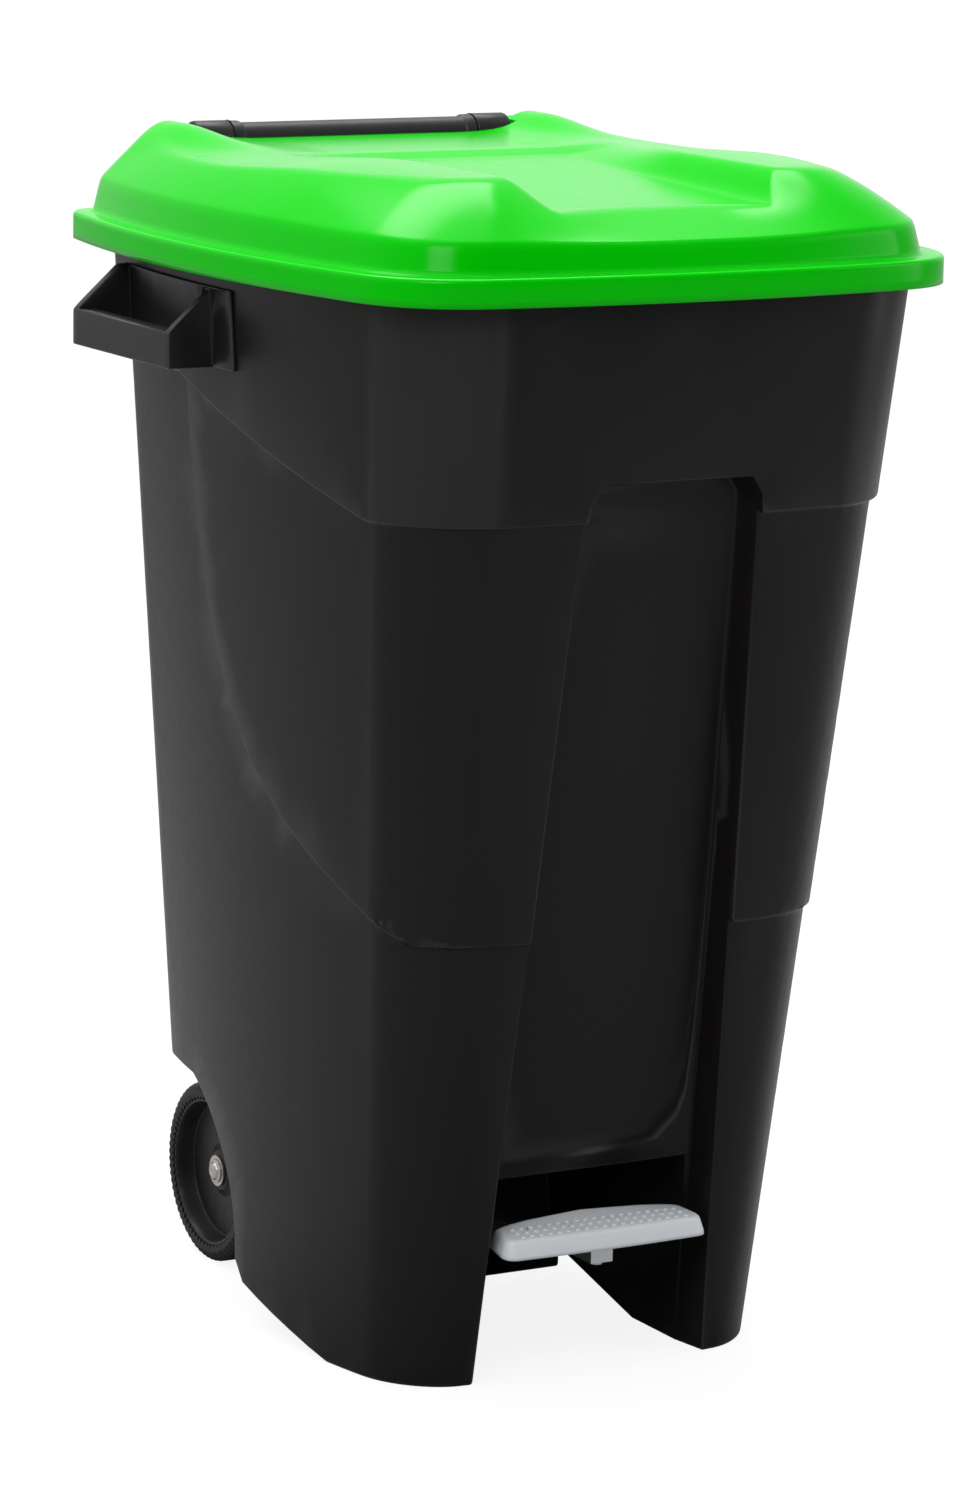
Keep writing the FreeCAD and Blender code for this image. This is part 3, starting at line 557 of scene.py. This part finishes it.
def tyre_tread(x, angle):
    """Notches on both halves of the tread, with a plain band in the middle and plain sidewalls.

    Depth = TREAD_DEPTH * clip(0.5 - NOTCH_STEEPNESS sin(NOTCHES a), 0, 1) * fade, where the fade goes
    by the share of the tyre's width between x and its middle."""
    wave = np.clip(0.5 - NOTCH_STEEPNESS * np.sin(NOTCHES * angle), 0.0, 1.0)
    across = np.abs(np.abs(x) - tyre_middle) / tyre_width
    fade = smoothstep(*NOTCH_NEAR, across) * (1.0 - smoothstep(*NOTCH_FAR, across))
    return TREAD_DEPTH * wave * fade


for side, sign in SIDES:
    low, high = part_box("tyre_" + side)
    centre_y = (low.y + high.y) / 2.0 / MM
    centre_z = (low.z + high.z) / 2.0 / MM
    outer = (high.z - low.z) / 2.0 / MM
    near, far = sorted((abs(low.x) / MM, abs(high.x) / MM))
    tyre_middle = (near + far) / 2.0
    tyre_width = far - near
    hub_low, hub_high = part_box("wheel_" + side)
    seat = (hub_high.z - hub_low.z) / 2.0 / MM
    tread_rows = [(tyre_middle + row, outer, 0) for row in TREAD_ROWS]
    section = [(near + BEAD, seat, 0), (near, outer - SIDEWALL, SIDEWALL_ROUND),
               (near + SHOULDER, outer, SHOULDER_ROUND), *tread_rows,
               (far - SHOULDER, outer, SHOULDER_ROUND), (far, outer - SIDEWALL, SIDEWALL_ROUND),
               (far - BEAD, seat, 0)]
    profile = [(sign * x, r) for x, r in rounded_profile(section)]
    tyre = turned("tyre_tread_" + side, profile, centre_y, centre_z, NOTCHES * COLUMNS_PER_NOTCH,
                  "tyre_" + side, tyre_tread)
    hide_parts("tyre_" + side)
    low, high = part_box("axle_cap_" + side)
    near, far = sorted((abs(low.x) / MM, abs(high.x) / MM))
    brim = (high.z - low.z) / 2.0 / MM
    cap = [(near, 0.0, 0), (near, brim, 0.3), (near + 1.2, brim, 0.4), (near + 1.6, brim - 2.0, 0.4),
           (far - 1.0, brim - 3.2, 1.0), (far, 3.0, 1.0), (far - 0.8, 2.0, 0.4), (far - 0.8, 0.0, 0)]
    profile = [(sign * x, r) for x, r in rounded_profile(cap)]
    disc = turned("push_cap_" + side, profile, centre_y, centre_z, CAP_COLUMNS, "axle_cap_" + side)
    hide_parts("axle_cap_" + side)

# %% Hinge knuckles and the grip's sleeve
KNUCKLE_RADIUS, KNUCKLE_ROUND, KNUCKLE_COLUMNS = 12.0, 0.8, 48
LUG_INNER = 104.0
COLLAR_EDGE, COLLAR_LENGTH, COLLAR_FADE = 0.5, 8.0, 10.0
COLLAR_HIGH, COLLAR_LOW = 1.6, 1.4
SLEEVE_WALL = 2.0
pin_low, pin_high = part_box("hinge_pin_right")
GRIP_Y = (grip_low.y + grip_high.y) / 2.0 / MM
GRIP_Z = (grip_low.z + grip_high.z) / 2.0 / MM
knuckle_far = pin_high.x / MM
pin_radius = (pin_high.z - pin_low.z) / 2.0 / MM
for side, sign in SIDES:
    ring = [(LUG_ROOM, pin_radius, 0), (LUG_ROOM, KNUCKLE_RADIUS, KNUCKLE_ROUND),
            (knuckle_far, KNUCKLE_RADIUS, KNUCKLE_ROUND), (knuckle_far, pin_radius, 0)]
    profile = [(sign * x, r) for x, r in rounded_profile(ring)]
    turned("hinge_knuckle_" + side, profile, GRIP_Y, GRIP_Z, KNUCKLE_COLUMNS, "lid")
grip_half = grip_high.x / MM
grip_radius = (grip_high.z - grip_low.z) / 2.0 / MM
# Half of the sleeve's profile, from its end inwards past the collar; the other half mirrors it.
half_sleeve = [(-grip_half, grip_radius - SLEEVE_WALL, 0), (-grip_half, grip_radius, 0.5),
               (-LUG_INNER, grip_radius, 0), (-LUG_INNER + COLLAR_EDGE, grip_radius + COLLAR_HIGH, 0.4),
               (-LUG_INNER + COLLAR_LENGTH, grip_radius + COLLAR_LOW, 0.6),
               (-LUG_INNER + COLLAR_FADE, grip_radius, 0.6)]
sleeve = half_sleeve + [(-x, r, size) for x, r, size in reversed(half_sleeve)]
grip = turned("grip_sleeve", rounded_profile(sleeve), GRIP_Y, GRIP_Z, CAP_COLUMNS, "grip_tube")
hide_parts("grip_tube")

# %% [markdown]
# ## The pedal
# The tread is a thin moulding with a drooping skirt, a top that rises to a low peak at the back, and
# rows of small raised studs for grip. The same ring method as the lid suits it: an outline with round
# corners, drawn inwards, with a height for every point.

# %% Pedal tread
tread_low, tread_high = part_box("pedal_tread")
TREAD_HALF = tread_high.x / MM
TREAD_FRONT, TREAD_REAR = tread_low.y / MM, tread_high.y / MM
TREAD_LOW, TREAD_HIGH = tread_low.z / MM, tread_high.z / MM
TREAD_RISE = 6.0
TREAD_TOP_GAP = 0.3
ROOF_FALL = 0.45
TREAD_CORNER = 10.0
TREAD_BOW = 1.5
TREAD_TAPER = 3.0
PEAK_HALF_LOSS, PEAK_HEIGHT = 34.0, 4.0
REAR_CORNER_DEPTH = 14.0
TREAD_WALL = 2.6
# Each row of the skirt is an inset and a drop from the top's height; the last ends on the flat.
FLAT_INSET = 9.0
TREAD_SKIRT = ((0.0, 13.5), (0.3, 11.0), (2.6, 3.0), (3.4, 1.4), (4.6, 0.4), (6.5, 0.0), (FLAT_INSET, 0.0))
print("pedal", TREAD_HALF, TREAD_FRONT, TREAD_REAR, TREAD_LOW, TREAD_HIGH)


def tread_outline(inset):
    """A wide front edge with round corners, sides that close in, and a blunt peak at the back."""
    half, front, rear = TREAD_HALF - inset, TREAD_FRONT + inset, TREAD_REAR - inset
    corner = TREAD_CORNER - 0.5 * inset
    start_y, end_y = front + TREAD_BOW, rear - REAR_CORNER_DEPTH
    s = np.linspace(0.0, 1.0, 16, endpoint=False)
    front_run = np.stack([s * (half - corner), front + TREAD_BOW * s * s], axis=1)
    corner_run = bezier((half - corner, start_y), (half - 0.4 * corner, start_y + 0.1),
                        (half, front + 0.5 * corner), (half, start_y + corner), 10)
    side_y = start_y + corner + (end_y - start_y - corner) * s
    side_run = np.stack([half - TREAD_TAPER * s, side_y], axis=1)
    back_run = bezier((half - TREAD_TAPER, end_y), (half - 4.0, rear - 9.0), (half - 14.0, rear - 7.0),
                      (half - PEAK_HALF_LOSS, rear - PEAK_HEIGHT), 12)
    s = np.linspace(0.0, 1.0, 14)
    peak_y = rear - PEAK_HEIGHT + PEAK_HEIGHT * s ** 1.2
    peak_run = np.stack([(half - PEAK_HALF_LOSS) * (1 - s), peak_y], axis=1)
    right = np.concatenate([front_run, corner_run, side_run, back_run, peak_run])
    left = right[-2:0:-1] * [-1.0, 1.0]
    return np.concatenate([right, left])


def tread_top(x, y):
    """The top rises with y, most in the middle: TREAD_RISE * along * (1 - ROOF_FALL (x / half)^2)."""
    along = np.clip((y - TREAD_FRONT) / (TREAD_REAR - TREAD_FRONT), 0.0, 1.0)
    rise = TREAD_RISE * along * (1.0 - ROOF_FALL * (x / TREAD_HALF) ** 2)
    return TREAD_HIGH - TREAD_RISE + rise - TREAD_TOP_GAP


rings = []
for inset, drop in TREAD_SKIRT:
    ring = tread_outline(inset)
    rings.append(np.column_stack([ring, tread_top(ring[:, 0], ring[:, 1]) - drop]))
inner = tread_outline(FLAT_INSET)
centre = np.stack([inner[:, 0] * 0.75, np.full(len(inner), (TREAD_FRONT + TREAD_REAR) / 2.0)], axis=1)
for share in np.linspace(0.1, 1.0, 10):
    plan = inner + (centre - inner) * share
    rings.append(np.column_stack([plan, tread_top(plan[:, 0], plan[:, 1])]))
tread_points = np.array(rings) * MM
tread_faces = grid_faces(*tread_points.shape[:2], wrap_columns=True)
tread = mesh_piece("pedal_tread_moulded", tread_points, tread_faces, pedal_grey, "pedal")
work = bmesh.new()
work.from_mesh(tread.data)
bmesh.ops.remove_doubles(work, verts=work.verts, dist=0.01 * MM)
work.to_mesh(tread.data)
work.free()
shell = tread.modifiers.new("wall", "SOLIDIFY")
shell.thickness = TREAD_WALL * MM
shell.offset = -1.0
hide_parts("pedal_tread")

# %% Pedal studs
STUD_RADIUS = 2.1
STUD_HEIGHT = 1.6
STUD_SINK = 0.05
STUD_RINGS, STUD_COLUMNS = 5, 12
STUDS_IN_ROW = 19
STUD_EDGE = 16.0
STUD_ROWS = (9.0, 17.0, 25.0)


def studs(places):
    """One small dome for every (x, y) place: rings of a flattened half ball, closed at its top.

    A ring at rise t has radius STUD_RADIUS cos t and height STUD_HEIGHT sin t."""
    rise = np.linspace(0.0, np.pi / 2.0, STUD_RINGS)
    angle = np.linspace(0.0, 2.0 * np.pi, STUD_COLUMNS, endpoint=False)
    rr, aa = np.meshgrid(rise, angle, indexing="ij")
    dome = np.stack([STUD_RADIUS * np.cos(rr) * np.cos(aa), STUD_RADIUS * np.cos(rr) * np.sin(aa),
                     STUD_HEIGHT * np.sin(rr)], axis=2).reshape(-1, 3)
    base = np.column_stack([places, tread_top(places[:, 0], places[:, 1]) - STUD_SINK])
    points = (base[:, None, :] + dome[None, :, :]) * MM
    faces = grid_faces(STUD_RINGS, STUD_COLUMNS, wrap_columns=True)
    offsets = np.arange(len(places))[:, None, None] * len(dome)
    return points, (faces[None] + offsets).reshape(-1, 4)


columns_x = np.linspace(-TREAD_HALF + STUD_EDGE, TREAD_HALF - STUD_EDGE, STUDS_IN_ROW)
rows_y = TREAD_FRONT + np.array(STUD_ROWS)
xx, yy = np.meshgrid(columns_x, rows_y)
stud_points, stud_faces = studs(np.stack([xx.ravel(), yy.ravel()], axis=1))
mesh_piece("pedal_studs", stud_points, stud_faces, pedal_grey, "pedal")

# %% [markdown]
# ## Camera, floor and light
# The bin stands on a plain white floor in soft studio light, seen from its front left corner and a
# little above. The lens is long, so the sides stay nearly upright. The floor is partly lit and partly
# glowing, and the glow shows only to the camera: that keeps it white without the glow lighting the
# black tub. The world is darker towards the camera's side, which keeps the tub's front deep black.

# %% Camera
LENS = 135.312
AZIMUTH, ELEVATION, ROLL = -29.27, 11.07, 0.99
DISTANCE = 4.18
TARGET = (-0.0004, 0.0135, 0.4246)
SHIFT_UP = 0.0046
FAR_END = 150.0


def look(azimuth, elevation, distance, target, roll):
    """The camera's matrix: it stands back from the target along a compass direction and a slope."""
    a, e = math.radians(azimuth), math.radians(elevation)
    back = np.array([math.sin(a) * math.cos(e), -math.cos(a) * math.cos(e), math.sin(e)])
    right = np.cross(-back, [0.0, 0.0, 1.0])
    right /= np.linalg.norm(right)
    up = np.cross(right, -back)
    c, s = math.cos(math.radians(roll)), math.sin(math.radians(roll))
    right, up = c * right + s * up, -s * right + c * up
    matrix = np.eye(4)
    matrix[:3, 0], matrix[:3, 1], matrix[:3, 2] = right, up, back
    matrix[:3, 3] = np.array(target) + back * distance
    return matrix


camera_data = bpy.data.cameras.new("camera")
camera_data.sensor_width = 36.0
camera_data.lens = LENS
camera_data.clip_end = FAR_END
camera = bpy.data.objects.new("camera", camera_data)
camera.matrix_world = Matrix(look(AZIMUTH, ELEVATION, DISTANCE, TARGET, ROLL).tolist())
camera_data.shift_y = SHIFT_UP
bpy.context.scene.collection.objects.link(camera)
bpy.context.scene.camera = camera
print("camera", LENS, "mm lens", DISTANCE, "m away")

# %% Floor
REACH = 40.0
FLOOR_GREY = 0.42
GLOW = 1.22
GLOW_SHARE = 0.72
floor_data = bpy.data.meshes.new("floor")
floor_corners = [(-REACH, -REACH, 0), (REACH, -REACH, 0), (REACH, REACH, 0), (-REACH, REACH, 0)]
floor_data.from_pydata(floor_corners, [], [(0, 1, 2, 3)])
floor = bpy.data.objects.new("floor", floor_data)
bpy.context.scene.collection.objects.link(floor)
floor_paint = bpy.data.materials.new("floor_paint")
floor_paint.use_nodes = True
paint_nodes, paint_links = floor_paint.node_tree.nodes, floor_paint.node_tree.links
paint = paint_nodes["Principled BSDF"]
paint.inputs["Base Color"].default_value = (FLOOR_GREY, FLOOR_GREY, FLOOR_GREY, 1.0)
paint.inputs["Roughness"].default_value = 0.9
glow = paint_nodes.new("ShaderNodeEmission")
glow.inputs["Strength"].default_value = GLOW
path = paint_nodes.new("ShaderNodeLightPath")
share = paint_nodes.new("ShaderNodeMath")
share.operation = "MULTIPLY"
share.inputs[1].default_value = GLOW_SHARE
seen = paint_nodes.new("ShaderNodeMixShader")
paint_links.new(path.outputs["Is Camera Ray"], share.inputs[0])
paint_links.new(share.outputs["Value"], seen.inputs["Fac"])
paint_links.new(paint.outputs["BSDF"], seen.inputs[1])
paint_links.new(glow.outputs["Emission"], seen.inputs[2])
paint_links.new(seen.outputs["Shader"], paint_nodes["Material Output"].inputs["Surface"])
floor_data.materials.append(floor_paint)
print("floor", 2.0 * REACH, "m across")

# %% World and lights
UP_WEIGHT = 0.7
WORLD_DARK, WORLD_LIGHT = 0.10, 0.95
WORLD_TURN = 0.7
world = bpy.data.worlds.new("studio")
world.use_nodes = True
nodes, links = world.node_tree.nodes, world.node_tree.links
direction = nodes.new("ShaderNodeTexCoord")
split = nodes.new("ShaderNodeSeparateXYZ")
links.new(direction.outputs["Generated"], split.inputs["Vector"])
lift = nodes.new("ShaderNodeMath")
lift.operation = "MULTIPLY_ADD"
lift.inputs[1].default_value = UP_WEIGHT
links.new(split.outputs["Z"], lift.inputs[0])
links.new(split.outputs["Y"], lift.inputs[2])
ramp = nodes.new("ShaderNodeMapRange")
ramp.interpolation_type = "SMOOTHSTEP"
gradient = {"From Min": -WORLD_TURN, "From Max": WORLD_TURN, "To Min": WORLD_DARK, "To Max": WORLD_LIGHT}
for socket, value in gradient.items():
    ramp.inputs[socket].default_value = value
links.new(lift.outputs["Value"], ramp.inputs["Value"])
links.new(ramp.outputs["Result"], nodes["Background"].inputs["Strength"])
nodes["Background"].inputs["Color"].default_value = (1.0, 1.0, 1.0, 1.0)
bpy.context.scene.world = world
bpy.context.scene.view_settings.view_transform = "Standard"


def softbox(name, place, target, size, power):
    """A rectangular area light at a place, turned to face a target."""
    data = bpy.data.lights.new(name, "AREA")
    data.shape = "RECTANGLE"
    data.size, data.size_y = size
    data.energy = power
    light = bpy.data.objects.new(name, data)
    aim = Vector(target) - Vector(place)
    light.rotation_euler = aim.to_track_quat("-Z", "Y").to_euler()
    light.location = place
    bpy.context.scene.collection.objects.link(light)


softbox("key", (-2.2, -2.2, 2.6), (0, 0, 0.5), (1.6, 1.6), 60.0)
softbox("fill", (2.6, -1.6, 1.4), (0, 0, 0.5), (1.2, 2.0), 25.0)
softbox("top", (0.3, 1.2, 3.0), (0, 0, 0.8), (2.0, 1.2), 60.0)
sun_data = bpy.data.lights.new("overhead", "SUN")
sun_data.energy = 1.5
sun_data.angle = math.radians(60.0)
overhead = bpy.data.objects.new("overhead", sun_data)
overhead.rotation_euler = (math.radians(-12.0), math.radians(-8.0), 0.0)
bpy.context.scene.collection.objects.link(overhead)
print("world and", len(bpy.data.lights), "lights ready")
